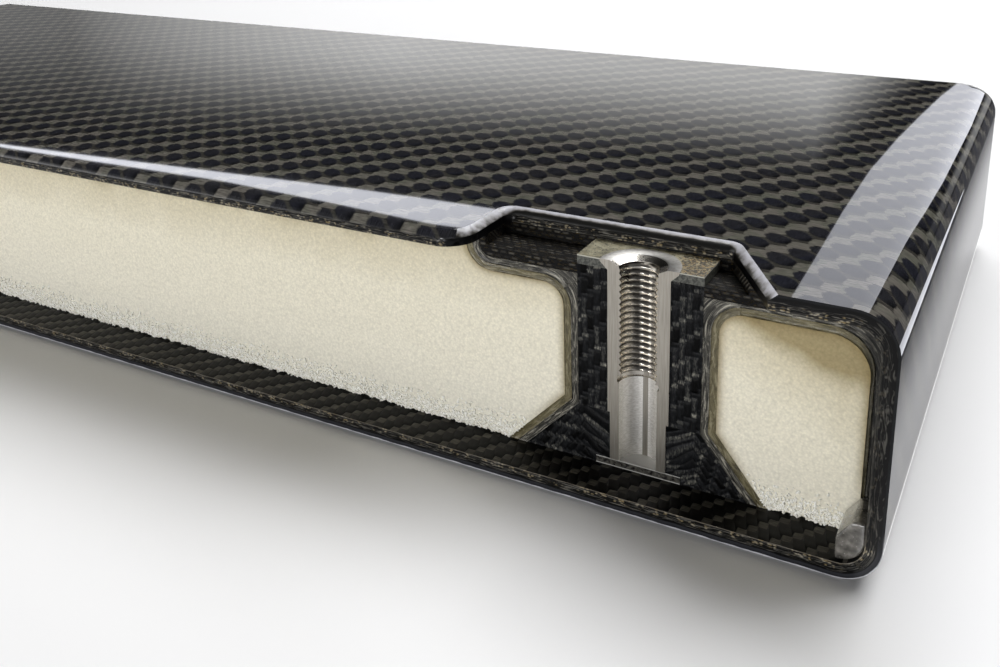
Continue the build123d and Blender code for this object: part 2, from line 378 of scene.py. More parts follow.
def bakeModifiers(piece):
    # the evaluated mesh takes the place of the plain one, and the modifiers go
    graph = bpy.context.evaluated_depsgraph_get()
    mesh = bpy.data.meshes.new_from_object(
        piece.evaluated_get(graph), preserve_all_data_layers=True, depsgraph=graph)
    piece.modifiers.clear()
    piece.data = mesh


flatWithin = 0.003 * mm


def smoothShade(piece, degrees):
    # smooth over the roundings, with the flats kept flat
    piece.data.shade_smooth()
    piece.data.set_sharp_from_angle(angle=math.radians(degrees))
    keep = piece.modifiers.new("flatFaces", "WEIGHTED_NORMAL")
    keep.mode, keep.weight, keep.keep_sharp = "FACE_AREA", 100, True
    bakeModifiers(piece)
    mesh = piece.data
    normals = [corner.vector.copy() for corner in mesh.corner_normals]
    flatEdges, otherEdges = set(), set()
    for polygon in mesh.polygons:
        axis = max(range(3), key=lambda k: abs(polygon.normal[k]))
        along = [mesh.vertices[i].co[axis] for i in polygon.vertices]
        if max(along) - min(along) < flatWithin:
            exact = Vector((0, 0, 0))
            exact[axis] = math.copysign(1, polygon.normal[axis])
            for loop in polygon.loop_indices:
                normals[loop] = exact
            flatEdges.update(polygon.edge_keys)
        else:
            otherEdges.update(polygon.edge_keys)
    for edge in mesh.edges:
        edge.use_edge_sharp |= edge.key in flatEdges and edge.key in otherEdges
    mesh.normals_split_custom_set(normals)


def dress(piece, nodes):
    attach(piece, "root")
    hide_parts(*nodes)


def finishPiece(piece, materials, sharpAngle, node):
    # its materials and shading, and the solid that it stands for
    for material in materials:
        piece.data.materials.append(material)
    piece.data.shade_smooth()
    piece.data.set_sharp_from_angle(angle=math.radians(sharpAngle))
    dress(piece, [node])
    print(piece.name, "made,", len(piece.data.polygons), "faces")


# Cloth of the skin: 3K carbon twill with 2.45 mm tows, seen through polished clear resin.
skinCloth = {
    "towWidth": 2.45,
    "lean": 0.95,  # how far the dark floats lean
    "bulge": (0.3, 0.75),  # where they end against the light ones
    "net": 0.8,  # how much of a light float shows between two dark ones
    "tip": 0.3,  # how far the slanted corners of the dark ones are cut
    "patch": 0.78,  # half the length of a light float
    "edgeRadius": 6.0,
    "runBack": "27272a",
    "runBackTint": "23242b",
    # painted sheen: the floats that run along are coloured lighter and warmer than the black ones
    "runAlongSheen": "67635d",
    "runAlongSheenTint": "5b5b52",
    "towShadow": "030303",
}
# Bag side of the lower skin: the same cloth, drawn finer, where the foam has gone.
ledgeCloth = {
    "towWidth": 1.25,
    "lean": 0.3,
    "bulge": (-0.12, 0.12),
    "net": 0.0,
    "tip": 0.0,
    "patch": 0.6,
    "runBack": "0c0b0a",
    "runBackTint": "151311",
    "runAlongSheen": "55524a",
    "runAlongSheenTint": "36342f",
    "towShadow": "020202",
}


def twillNodes(add, place, cloth):
    # a twill on flat coordinates in metres: the mask of the floats that run along, the
    # roundness of each float, how far up it a point lies, and a random value for each
    towWidth = cloth["towWidth"] * mm
    scaled = add("VectorMath", {"operation": "SCALE", "Scale": 1 / towWidth}, place)
    wander = add("TexNoise", {"noise_dimensions": "2D"}, scaled, 0.3, 1.0)
    stray = add("VectorMath", "SUBTRACT", wander.outputs["Color"], (0.5, 0.5, 0.5))
    stray = add("VectorMath", {"operation": "SCALE", "Scale": 0.45}, stray)
    u, v, _ = add("SeparateXYZ", {}, add("VectorMath", "ADD", scaled, stray)).outputs
    slant = add("Math", "SUBTRACT", u, v)
    # the floats that run along: a chain of rounded patches, one to a row
    rowPlace = add("Math", "SUBTRACT", add("Math", "FRACT", v), 0.5)
    across = add("Math", "ADD", add("Math", "WRAP", slant, 2.0, -2.0), rowPlace)
    off = powerOff(add, across, cloth["patch"], 4.0)
    off = add("Math", "ADD", off, powerOff(add, rowPlace, 0.6, 4.0))
    along = add("MapRange", "SMOOTHSTEP", off, 0.75, 1.15, 1.0, 0.0)
    alongRound = add("Math", "SUBTRACT", 1.0, off)
    # the floats that run back: leaning lozenges, each about two rows long
    pitch = 1.0 + cloth["lean"]
    shifted = add("Math", "SUBTRACT", v, 0.17)
    band = add("Math", "WRAP", add("Math", "SUBTRACT", slant, 1.75), 2.0, -2.0)
    raw = add("Math", "MULTIPLY_ADD", shifted, pitch, band)
    number = add("Math", "ROUND", add("Math", "DIVIDE", raw, pitch))
    side = add("Math", "MULTIPLY_ADD", number, -pitch, raw)
    up = add("Math", "SUBTRACT", shifted, number)
    sideOff = powerOff(add, side, pitch / 2, 3.0)
    backOff = add("Math", "ADD", sideOff, powerOff(add, up, 0.98, 4.0))
    backRound = add("Math", "SUBTRACT", 1.0, backOff)
    # painted shadow: lowCorner is lowest at each dark float's lower right end, where its colour
    # turns black
    lowCorner = add(
        "Math", "SUBTRACT", add("Math", "MULTIPLY", up, 0.8), add("Math", "MULTIPLY", side, 0.5))
    # the dark floats bulge into the light patches, which are left with hollow sides
    bulge = add("Math", "ADD", sideOff, powerOff(add, up, 0.92, 3.0))
    tip = add("Math", "MULTIPLY_ADD", side, -2 / pitch, add("Math", "DIVIDE", up, 0.92))
    bulge = add("Math", "MULTIPLY_ADD", powerOff(add, tip, 1.0, 3.0), cloth["tip"], bulge)
    along = faded(add, along, ("SMOOTHSTEP", bulge, *cloth["bulge"], 0.0, 1.0))
    net = add("MapRange", "SMOOTHSTEP", bulge, 0.45, 1.0, 0.0, cloth["net"])
    along = add("Math", "MAXIMUM", along, net)
    chain = add("Math", "ROUND", add("Math", "DIVIDE", slant, 4.0))
    chance = add("TexWhiteNoise", {"noise_dimensions": "2D"}, add("CombineXYZ", {}, number, chain))
    return {
        "along": along, "alongRound": alongRound, "backRound": backRound,
        "lowCorner": lowCorner, "chance": chance.outputs["Value"],
        "height": add("Mix", "FLOAT", along, backRound, alongRound),
    }


def twillColour(add, place, twill, cloth):
    # the tows' colours: run-back floats dark with painted shadows at their ends, run-along ones
    # painted light as sheen
    back, along = (
        add("Mix", "RGBA", twill["chance"], cloth[run], cloth[run + "Tint"])
        for run in ("runBack", "runAlongSheen")
    )
    # painted shade: black at the lower end of each dark float and darker towards its edges
    lit = add("MapRange", "SMOOTHSTEP", twill["lowCorner"], -0.8, -0.1, 0.0, 1.0)
    lit = faded(add, lit, ("LINEAR", twill["backRound"], -0.3, 0.35, 0.25, 1.0))
    back = add("Mix", "RGBA", lit, cloth["towShadow"], back)
    # painted shade: each light float darkens towards its edges
    edge = add("MapRange", "LINEAR", twill["alongRound"], -0.1, 0.5, 0.45, 1.0)
    along = add("Mix", "RGBA", edge, cloth["towShadow"], along)
    tow = add("Mix", "RGBA", twill["along"], back, along)
    # filaments: fine streaks along each float, drawn four times as wide as the real ones
    streaks = [
        stretchedNoise(add, place, sizes, {"Detail": 2.0}) for sizes in ((0.16, 1.6), (1.6, 0.16))
    ]
    streak = add("Mix", "FLOAT", twill["along"], *streaks)
    shade = add("MapRange", "LINEAR", streak, 0.3, 0.7, 0.62, 1.3)
    return add("VectorMath", {"operation": "SCALE", "Scale": shade}, tow)


def twillMaterial(name, surface, cloth, strength, depth):
    material, add, shader = newMaterial(name, surface)
    place = add("UVMap", {"uv_map": "cloth"})
    twill = twillNodes(add, place, cloth)
    colour = twillColour(add, place, twill, cloth)
    finishShader(add, shader, colour, twill["height"], strength, depth)
    return material


def skinTwill():
    # carbon twill moulded against polished steel: black floats run back, and the ones that run
    # along are painted lighter and warmer as their sheen; a glass-clear coat over both reflects the
    # room
    return twillMaterial("carbonTwillPolishedResin", {
        "Roughness": 0.5, "Specular IOR Level": 0.0, "Coat Weight": 1.0, "Coat Roughness": 0.02,
    }, skinCloth, 0.35, 0.12)


def ledgeTwill():
    # the bag side of the lower skin: the same cloth with its resin left matt and uneven
    return twillMaterial("carbonTwillBagSide", {
        "Roughness": 0.45, "Specular IOR Level": 0.12,
    }, ledgeCloth, 0.5, 0.15)


# Sawn laminate: plies seen on their ends, from the outer surface inwards.
sawnEdge = {
    "thickness": 2.4,
    "layers": [
        # the first two stops are a painted highlight, a bright line along the outer edge
        (0.0, "c9c9ce"), (0.045, "a8a8ae"), (0.07, "1b1b1e"), (0.13, "26272b"), (0.3, "2f3034"),
        (0.36, "050505"), (0.62, "0f0f0e"), (0.93, "0c0b0a"), (0.965, "7d766b"), (1.0, "3c3933"),
    ],
    "wallLayers": [
        (0.0, "060607"), (0.08, "1a1b1d"), (0.2, "050505"), (0.5, "0b0b0b"), (0.85, "0a0a0a"),
        (1.0, "34332f"),
    ],
    "fibre": "75726b",
    "tan": "83724e",
    "glint": "aca594",
}


def sawnLaminate():
    # diamond-sawn laminate, wet from polishing: a painted highlight on a smooth outer resin line,
    # black plies with long grey fibre streaks, tan knots of resin near the bag side with painted
    # glints, and a darker end wall with a few upright grey tow ends
    material, add, shader = newMaterial("carbonLaminateSawn", {
        "Roughness": 0.3, "Specular IOR Level": 0.12, "Coat Weight": 0.08, "Coat Roughness": 0.1,
    })
    place = add("UVMap", {"uv_map": "cloth"})
    _, x, _, z = objectPlace(add)
    wall = add("MapRange", "SMOOTHSTEP", x, endX - 5 * mm, endX - 2.8 * mm, 0.0, 1.0)
    wall = faded(add, wall, ("SMOOTHSTEP", z, 4 * mm, 9 * mm, 0.0, 1.0))
    upper = add("MapRange", "LINEAR", z, 20 * mm, 24 * mm, 0.0, 1.0)
    dark = add("Math", "MAXIMUM", wall, upper)
    depth = add("SeparateXYZ", {}, place).outputs[1]
    depth = add("Math", "DIVIDE", depth, sawnEdge["thickness"] * mm)
    wave = add("TexNoise", {"noise_dimensions": "2D", "Scale": 1 / (3 * mm), "Detail": 2.0}, place)
    depth = add("Math", "MULTIPLY_ADD", add("Math", "SUBTRACT", wave, 0.5), 0.10, depth)
    low, high = (
        setStops(add("ValToRGB", {}, depth), sawnEdge[name]) for name in ("layers", "wallLayers")
    )
    colour = add("Mix", "RGBA", dark, low, high)
    streak = stretchedNoise(add, place, (2.4, 0.16), {"Detail": 2.0, "Distortion": 0.6})
    streaks = faded(
        add, add("MapRange", "SMOOTHSTEP", depth, 0.36, 0.46, 0.0, 1.0),
        ("LINEAR", streak, 0.52, 0.72, 0.0, 0.75), ("LINEAR", wall, 0.0, 1.0, 1.0, 0.3),
    )
    colour = add("Mix", "RGBA", streaks, colour, sawnEdge["fibre"])
    # upright tow ends every few millimetres, on the end wall only
    tow = stretchedNoise(add, place, (2.6, 0.7), {"Detail": 3.0, "Distortion": 1.2})
    towEnd = faded(
        add, wall, ("LINEAR", tow, 0.57, 0.68, 0.0, 0.35), ("LINEAR", depth, 0.15, 0.3, 0.0, 1.0))
    colour = add("Mix", "RGBA", towEnd, colour, sawnEdge["fibre"])
    knot = add("Mapping", {"Scale": (1 / (0.75 * mm), 1 / (0.42 * mm), 1)}, place)
    knots = add("TexVoronoi", {
        "voronoi_dimensions": "2D", "feature": "SMOOTH_F1", "Scale": 1.0, "Smoothness": 0.25,
    }, knot)
    where = add("TexNoise", {
        "noise_dimensions": "2D", "Scale": 1 / (1.5 * mm), "Detail": 1.0,
    }, place)
    knotted = faded(
        add, add("MapRange", "LINEAR", knots, 0.2, 0.42, 1.0, 0.0),
        ("LINEAR", where, 0.48, 0.6, 0.0, 0.8), ("SMOOTHSTEP", depth, 0.5, 0.68, 0.0, 1.0),
        ("LINEAR", wall, 0.0, 1.0, 1.0, 0.12),
    )
    # painted glints: where the streaks are bright the knots turn from tan to the glint colour
    bright = add("MapRange", "LINEAR", streak, 0.4, 0.62, 0.0, 1.0)
    tan = add("Mix", "RGBA", bright, sawnEdge["tan"], sawnEdge["glint"])
    colour = add("Mix", "RGBA", knotted, colour, tan)
    finishShader(add, shader, colour, add("Math", "ADD", streaks, knotted), 0.7, 0.12)
    return material


# The lip's bevel, with its painted highlight: by the share of the way up it, and where its end
# slopes lie.
rimPaintedHighlight = {
    "depth": 1.1,
    "leftSlope": (-26.0, -22.5),
    "rightSlope": (11.0, 12.5),
    "stops": [
        (0.0, "0a0a09"), (0.55, "11100e"), (0.62, "45423c"), (0.72, "918f90"), (0.85, "b6b6bc"),
        (1.0, "c2c2ca"),
    ],
}


def rimResin():
    # the lip's bevel, polished through clear resin into the plies: a painted highlight, a thin
    # bright line at its upper edge, smoky below it
    material, add, shader = newMaterial("resinBevelPaintedHighlight", {
        "Roughness": 0.4, "Specular IOR Level": 0.3, "Coat Weight": 0.3, "Coat Roughness": 0.08,
    })
    place, x, _, z = objectPlace(add)
    streak = add("TexNoise", {"Scale": 1 / (1.6 * mm), "Detail": 4.0}, place)
    height = add("Math", "MULTIPLY_ADD", add("Math", "SUBTRACT", streak, 0.5), 0.35 * mm, z)
    level = add("MapRange", "LINEAR", height, topZ - rimPaintedHighlight["depth"] * mm, topZ, 0.0, 1.0)
    # the slopes at the pocket's two ends are clear resin, painted pale over their whole width as
    # the reflection they show
    slopes = [
        add("MapRange", "LINEAR", x, *(insertX + off * mm for off in rimPaintedHighlight[slope]), *levels)
        for slope, levels in (("leftSlope", (1.0, 0.0)), ("rightSlope", (0.0, 1.0)))
    ]
    clear = add("Math", "MULTIPLY", add("Math", "MAXIMUM", *slopes), 0.7)
    clouded = add("MapRange", "LINEAR", streak, 0.32, 0.66, 0.74, 0.97)
    level = add("Mix", "FLOAT", clear, level, clouded)
    linkTo(shader, "Base Color", setStops(add("ValToRGB", {}, level), rimPaintedHighlight["stops"]))
    return material


def unwrapRun(across, down, level, radius):
    # how far along the cloth a point lies: level, round the edge, then down the wall
    if across <= level:
        return across
    if down > 0:
        return level + radius * math.pi / 2 + down
    return level + radius * math.atan2(across - level, -down)


def unwrapSkin(mesh):
    # the cloth lies flat on the top and turns down over the end and the rear edge; on the
    # sawn faces it gives the run along the edge and the depth under the outer surface
    radius = skinCloth["edgeRadius"] * mm
    layer = mesh.uv_layers.new(name="cloth")
    middleZ = (topZ + skinLow[2]) / 2
    roundX, roundY, roundZ = endX - radius, rearY - radius, topZ - radius
    for polygon in mesh.polygons:
        normal = polygon.normal
        for loop in polygon.loop_indices:
            x, y, z = mesh.vertices[mesh.loops[loop].vertex_index].co
            runX = unwrapRun(x, roundZ - z, roundX, radius)
            runY = unwrapRun(y, roundZ - z, roundY, radius)
            atFarEnd = normal.x < -0.9 and x < skinLow[0] + 0.02 * mm
            if normal.y < -0.9 or atFarEnd:
                flat, off, run = (y, y - roundY, runY) if atFarEnd else (x, x - roundX, runX)
                offZ = abs(z - middleZ) - (roundZ - middleZ)
                inCorner = off > 0 and offZ > 0
                depth = radius - (math.hypot(off, offZ) if inCorner else max(off, offZ))
                u, v = (flat if offZ > off else run), depth
            elif abs(normal.z) > 0.9:
                u, v = x, y
            elif abs(normal.y) > abs(normal.x):
                u, v = x, runY
            else:
                u, v = runX, y
            layer.data[loop].uv = (u, v)


# Where the pocket and its bevelled lip lie: from the end, the section and the insert.
skinPlaces = {"pocketEnd": -10.0, "pocketRear": 10.0, "lipStart": -28.0, "sharpAngle": 32}


def makeSkin():
    piece = mergedCopy("outer_skin", "skin_shell")
    mesh = piece.data
    for material in (skinTwill(), sawnLaminate(), ledgeTwill(), rimResin()):
        mesh.materials.append(material)
    cloth, sawn, ledge, rim = range(4)
    tiny = 0.02 * mm
    innerTop = topZ - skinThickness
    for polygon in mesh.polygons:
        middle, normal = polygon.center, polygon.normal
        inside = (
            middle.x < endX - skinThickness + tiny
            and middle.y < rearY - skinThickness + tiny
            and skinLow[2] + skinThickness - tiny < middle.z < innerTop + tiny
        )
        inPocket = (
            innerTop < middle.z < topZ - tiny
            and middle.x < endX + skinPlaces["pocketEnd"] * mm
            and middle.y < sectionY + skinPlaces["pocketRear"] * mm
        )
        atLip = middle.x > insertX + skinPlaces["lipStart"] * mm
        if middle.y < frontY + tiny or middle.x < skinLow[0] + tiny:
            polygon.material_index = sawn
        elif inside:
            polygon.material_index = ledge
        elif inPocket:
            polygon.material_index = sawn if normal.z < 0.3 else rim if atLip else cloth
    unwrapSkin(mesh)
    smoothShade(piece, skinPlaces["sharpAngle"])
    dress(piece, ["outer_skin"])


# Relief faces: the sawn front of a solid, made again as a fine mesh with real unevenness.
relief = {
    "thickness": 0.6 * mm,
    "setBack": 1.02,  # how far the solid's own front moves back, in thicknesses
    "seed": 7,
    "jitter": 0.3,  # of a step, for the points inside the outline
    "stretch": 1.4,  # the longest edge left undivided, in steps
    "sharpAngle": 50,
}


def frontLoops(work):
    # the outlines of the front faces, in order, and those faces
    front = [
        face for face in work.faces
        if face.normal.y < -0.9 and abs(face.calc_center_median().y - sectionY) < 0.05 * mm
    ]
    chosen = set(front)
    edges = {}
    for face in front:
        for loop in face.loops:
            if not any(other in chosen for other in loop.edge.link_faces if other is not face):
                edges[loop.vert] = loop.link_loop_next.vert
    outlines = []
    while edges:
        start, here = edges.popitem()
        outline = [start]
        while here is not start:
            outline.append(here)
            here = edges.pop(here)
        outlines.append([(vert.co.x, vert.co.z) for vert in outline])
    return outlines, front


def divided(outline, step):
    # the outline with points added on its long edges; step(x) is the distance wanted there
    points = []
    for (ax, az), (bx, bz) in zip(outline, outline[1:] + outline[:1]):
        length = math.hypot(bx - ax, bz - az)
        share, place = [0.0], 0.0
        while length - place > relief["stretch"] * step(ax + (bx - ax) * place / length):
            place += step(ax + (bx - ax) * place / length)
            share.append(place / length)
        points += [(ax + (bx - ax) * s, az + (bz - az) * s) for s in share]
    return points


def reliefFace(work, outline, step, height, edgeShift):
    # one closed slab behind the outline: a fine uneven front, straight sides and a flat back
    chance = random.Random(relief["seed"])
    points = [Vector(edgeShift(x, z)) for x, z in divided(outline, step)]
    count = len(points)
    low, high = (Vector([end(p[k] for p in points) for k in (0, 1)]) for end in (min, max))
    jitter = relief["jitter"]
    x = low.x
    while x < high.x:
        wide = step(x)
        z = low.y
        while z < high.y:
            offX, offZ = (chance.uniform(-jitter, jitter) * wide for _ in range(2))
            points.append(Vector((x + offX, z + offZ)))
            z += wide
        x += wide
    rim = [(i, (i + 1) % count) for i in range(count)]
    flat, _, faces, origin, _, _ = geometry.delaunay_2d_cdt(points, rim, [], 1, 1e-7)
    verts = []
    for place, source in zip(flat, origin):
        back = 0.0 if any(i < count for i in source) else height(place.x, place.y)
        verts.append(work.verts.new((place.x, sectionY + back, place.y)))
    made = [work.faces.new([verts[i] for i in face]) for face in faces if len(face) == 3]
    for face in made:
        face.normal_update()
        if face.normal.y > 0:
            face.normal_flip()
    used = {vert for face in made for vert in face.verts}
    for vert in verts:
        if vert not in used:
            work.verts.remove(vert)
    edges = {edge for face in made for edge in face.edges}
    border = [edge for edge in edges if len(edge.link_faces) == 1]
    walls = bmesh.ops.extrude_edge_only(work, edges=border)["geom"]
    backRing = {item for item in walls if isinstance(item, bmesh.types.BMVert)}
    for vert in backRing:
        vert.co.y = sectionY + relief["thickness"]
    backEdges = [
        item for item in walls
        if isinstance(item, bmesh.types.BMEdge) and all(vert in backRing for vert in item.verts)
    ]
    bmesh.ops.triangle_fill(work, use_beauty=False, edges=backEdges, normal=(0, 1, 0))


def reliefPiece(node, name, step, height, edgeShift=lambda x, z: (x, z)):
    # a solid with its front set back, and the fine front standing before it
    work = bmesh.new()
    work.from_mesh(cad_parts[node].data)
    bmesh.ops.remove_doubles(work, verts=work.verts, dist=1e-6)
    outlines, front = frontLoops(work)
    for vert in {vert for face in front for vert in face.verts}:
        vert.co.y = sectionY + relief["thickness"] * relief["setBack"]
    for outline in outlines:
        reliefFace(work, outline, step, height, edgeShift)
    bmesh.ops.recalc_face_normals(work, faces=work.faces)
    mesh = bpy.data.meshes.new(name)
    work.to_mesh(mesh)
    work.free()
    return newPiece(name, mesh), outlines


# Foam: closed-cell structural foam, sawn; its lower edge has crumbled.
foamFinish = {
    "visibleFromX": -70.0,
    "step": 0.42,
    "farStep": 3.0,
    "relief": 0.07,
    "fineSize": 0.9,
    "coarseRelief": 0.12,
    "coarseSize": 2.6,
    "crumbleHeight": 5.0,
    "crumbleRelief": 0.30,
    "ragged": 0.9,
    "biteSizes": (1.1, 0.45),
    "cell": 0.42,
    "cream": "e9e3cf",
    "grey": "e8e5d8",
    # painted shade at the top of the foam, under the skin's overhang
    "underSkinShade": "a0926e",
    "soakedTone": "85754f",
    "soakedWidth": 1.6,
    "soakedFoot": (2.0, 8.0),  # how far above the lower edge it begins, and over what height
    "soakedMost": 0.8,
    "crumbWhite": "fbfaf4",
}
# its loose crumbs: how high they reach, how many lie on a square metre, and their radius
crumbForm = {"height": 5.0, "density": 1.3e7, "radius": 0.36, "seed": 11}
contours = {}


def foamStep(x):
    near = x > foamFinish["visibleFromX"] * mm
    return foamFinish["step" if near else "farStep"] * mm


def foamHeight(x, z):
    # small hollows everywhere, coarse crumbs near the bottom; never past the section plane
    fine = noise.noise(Vector((x, z, 0.3)) / (foamFinish["fineSize"] * mm))
    coarse = noise.noise(Vector((x, z, 4.7)) / (foamFinish["coarseSize"] * mm))
    low = max(0.0, 1 - (z - foamLow[2]) / (foamFinish["crumbleHeight"] * mm))
    depth = foamFinish["relief"] + low * foamFinish["crumbleRelief"]
    return ((0.5 + 0.5 * fine) * depth + (0.5 + 0.5 * coarse) * foamFinish["coarseRelief"]) * mm


def foamEdge(x, z):
    # the bottom edge crumbles upwards, the others stay sawn
    if z > foamLow[2] + 0.01 * mm:
        return x, z
    large, small = foamFinish["biteSizes"]
    bite = abs(noise.noise(Vector((x, 0, 9.1)) / (large * mm)))
    bite += 0.5 * abs(noise.noise(Vector((x, 0, 2.2)) / (small * mm)))
    return x, z + bite * foamFinish["ragged"] * mm


def foamMaterial():
    # sawn rigid foam: cream cells, drawn twice as wide as their quarter millimetre so that
    # they show, darker and browner under the skin as painted shade of its overhang, and paler and
    # open towards the bottom
    material, add, shader = newMaterial("structuralFoamSawn", {
        "Roughness": 0.85, "Specular IOR Level": 0.25,
    })
    place, x, _, z = objectPlace(add)
    cells = add("TexVoronoi", {"Scale": 1 / (foamFinish["cell"] * mm), "Randomness": 1.0}, place)
    tone = add("TexNoise", {"Scale": 1 / (9 * mm), "Detail": 4.0}, place)
    # painted shade: the tone darkens towards the top, reaching lower near the end
    raised = add(
        "MapRange", "LINEAR", x, insertX + 8 * mm, endX - 8 * mm, 1.5 * mm, 11.5 * mm)
    upTo = add("Math", "MULTIPLY_ADD", tone, 6 * mm, add("Math", "ADD", z, raised))
    level = add("MapRange", "LINEAR", upTo, 4 * mm, 41.5 * mm, 0.0, 1.0)
    colour = setStops(add("ValToRGB", {}, level), [
        (0.0, foamFinish["grey"]), (0.35, "ebe6d5"), (0.68, foamFinish["cream"]),
        (0.9, "d5ccb2"), (1.0, foamFinish["underSkinShade"]),
    ])
    # browner within a millimetre of the bond line, where the resin soaked in
    soaked = add("Attribute", {"attribute_name": "soaked"}).outputs["Fac"]
    colour = add("Mix", "RGBA", soaked, colour, foamFinish["soakedTone"])
    hollow = cells.outputs["Distance"]
    grit = add("TexNoise", {"Scale": 1 / (0.7 * mm), "Detail": 3.0, "Roughness": 0.7}, place)
    # painted shade: darker in the hollow of each cell
    shade = faded(
        add, add("MapRange", "LINEAR", hollow, 0.15, 0.75, 1.03, 0.91),
        ("LINEAR", grit, 0.3, 0.7, 0.90, 1.08),
    )
    colour = add("VectorMath", {"operation": "SCALE", "Scale": shade}, colour)
    finishShader(add, shader, colour, add("Math", "SUBTRACT", grit, hollow), 0.5, 0.1)
    return material


def crumbMaterial():
    # broken cell walls: nearly white and a little glossy, so that single grains sparkle
    material, add, shader = newMaterial("structuralFoamCrumbs", {
        "Roughness": 0.45, "Specular IOR Level": 0.5,
    })
    grain = add("TexNoise", {"Scale": 1 / (0.5 * mm), "Detail": 2.0}, objectPlace(add)[0])
    tones = [(0.35, foamFinish["grey"]), (0.6, foamFinish["crumbWhite"])]
    linkTo(shader, "Base Color", setStops(add("ValToRGB", {}, grain), tones))
    return material


def makeFoam():
    material, crumbs = foamMaterial(), crumbMaterial()
    for side in ("left", "right"):
        node = "foam_core_" + side
        piece, outlines = reliefPiece(node, "foam_face_" + side, foamStep, foamHeight, foamEdge)
        finishPiece(piece, [material], relief["sharpAngle"], node)
        contours[side] = outlines[0]
        soak(piece.data, outlines[0])
        makeCrumbs(side, piece, crumbs)


def soak(mesh, outline):
    # how much resin each point of the front took up; none along the open bottom
    width = foamFinish["soakedWidth"] * mm
    foot, over = foamFinish["soakedFoot"]
    values = []
    for vert in mesh.vertices:
        x, y, z = vert.co
        off = fromContour(outline, x, z)[1] if x > 0 and y < sectionY + 0.55 * mm else 1.0
        low = min(1.0, max(0.0, (z - foamLow[2] - foot * mm) / (over * mm)))
        values.append(low * max(0.0, 1 - off / width) ** 1.5 * foamFinish["soakedMost"])
    mesh.attributes.new("soaked", "FLOAT", "POINT").data.foreach_set("value", values)


def crumbTree():
    # crumbs scattered and turned on the faces that look forward near the lower edge
    tree = bpy.data.node_groups.new("foamCrumbs", "GeometryNodeTree")
    for name, kind in (
        ("Foam", "Geometry"), ("Reach", "Float"), ("Density", "Float"), ("Radius", "Float"),
        ("Material", "Material"),
    ):
        tree.interface.new_socket(name, in_out="INPUT", socket_type="NodeSocket" + kind)
    tree.interface.new_socket("Crumbs", in_out="OUTPUT", socket_type="NodeSocketGeometry")
    add = partial(addNode, tree)
    given = add("NodeGroupInput", {}).outputs
    height = add("SeparateXYZ", {}, add("GeometryNodeInputPosition", {})).outputs[2]
    height = add("Math", "SUBTRACT", height, foamLow[2] + 0.3 * mm)
    share = add("Math", "SUBTRACT", 1.0, add("Math", "DIVIDE", height, given["Reach"]))
    share = add("Math", "POWER", add("Math", "MAXIMUM", share, 0.0), 1.6)
    normal = add("GeometryNodeInputNormal", {}).outputs["True Normal"]
    facing = add("SeparateXYZ", {}, normal).outputs[1]
    front, low = (
        add("FunctionNodeCompare", {"data_type": "FLOAT", "operation": "LESS_THAN"}, value, limit)
        for value, limit in ((facing, -0.3), (height, given["Reach"]))
    )
    chosen = add("FunctionNodeBooleanMath", {"operation": "AND"}, front, low)
    points = add("GeometryNodeDistributePointsOnFaces", {
        "Mesh": add("GeometryNodeSeparateGeometry", {"domain": "FACE"}, given["Foam"], chosen),
        "Density": add("Math", "MULTIPLY", given["Density"], share), "Seed": crumbForm["seed"],
    })
    turn, size = (
        add("FunctionNodeRandomValue", {"data_type": "FLOAT_VECTOR", "Seed": seed}, low, high)
        for seed, low, high in (
            (3, (0.0, 0.0, 0.0), (6.28, 6.28, 6.28)), (5, (0.4, 0.3, 0.4), (1.1, 0.55, 1.1)),
        )
    )
    crumb = add("GeometryNodeMeshIcoSphere", {"Radius": given["Radius"], "Subdivisions": 1})
    placed = add("GeometryNodeInstanceOnPoints", {
        "Points": points, "Instance": crumb, "Rotation": turn, "Scale": size,
    })
    solid = add("GeometryNodeSetMaterial", {
        "Geometry": add("GeometryNodeRealizeInstances", {}, placed), "Material": given["Material"],
    })
    add("NodeGroupOutput", {}, solid)
    return tree


def makeCrumbs(side, foam, material):
    # loose crumbs of foam near the lower edge of a core
    tree = crumbTree()
    piece = newPiece("foam_crumbs_" + side, foam.data.copy())
    scatter = piece.modifiers.new("crumbs", "NODES")
    scatter.node_group = tree
    values = {
        "Reach": crumbForm["height"] * mm, "Density": crumbForm["density"],
        "Radius": crumbForm["radius"] * mm, "Material": material,
    }
    for socket in tree.interface.items_tree:
        if socket.in_out == "INPUT" and socket.name in values:
            scatter[socket.identifier] = values[socket.name]
    bakeModifiers(piece)
    piece.data.shade_smooth()
    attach(piece, "root")
    print(piece.name, "made,", len(piece.data.polygons), "faces")


# Bond lines and wraps: the layers that follow the foam's outline. Each has its tones, the
# width of its plies in millimetres, and its surface; they share the mesh and its waves.
layerStep = {"near": 0.16, "far": 2.0, "nearFromX": 60.0}
layerWave = {"run": 6.0, "off": 0.3, "depth": 0.3}
layers = {
    "bond_line": {
        "material": "epoxyBondLineCured",
        "slot": "bond_resin",
        "stops": [(0.3, "3a3423"), (0.5, "5f583f"), (0.68, "857e65")],
        "ply": 0.5,
        "surface": {
            "Roughness": 0.25, "Specular IOR Level": 0.3, "Coat Weight": 0.3,
            "Coat Roughness": 0.08,
        },
    },
    "core_wrap": {
        "material": "carbonWrapSawnPlies",
        "slot": "wrap_laminate",
        "stops": [(0.36, "12120f"), (0.52, "45433d"), (0.68, "a39f92")],
        "ply": 0.28,
        "surface": {
            "Roughness": 0.35, "Specular IOR Level": 0.2, "Coat Weight": 0.2,
            "Coat Roughness": 0.1,
        },
    },
}


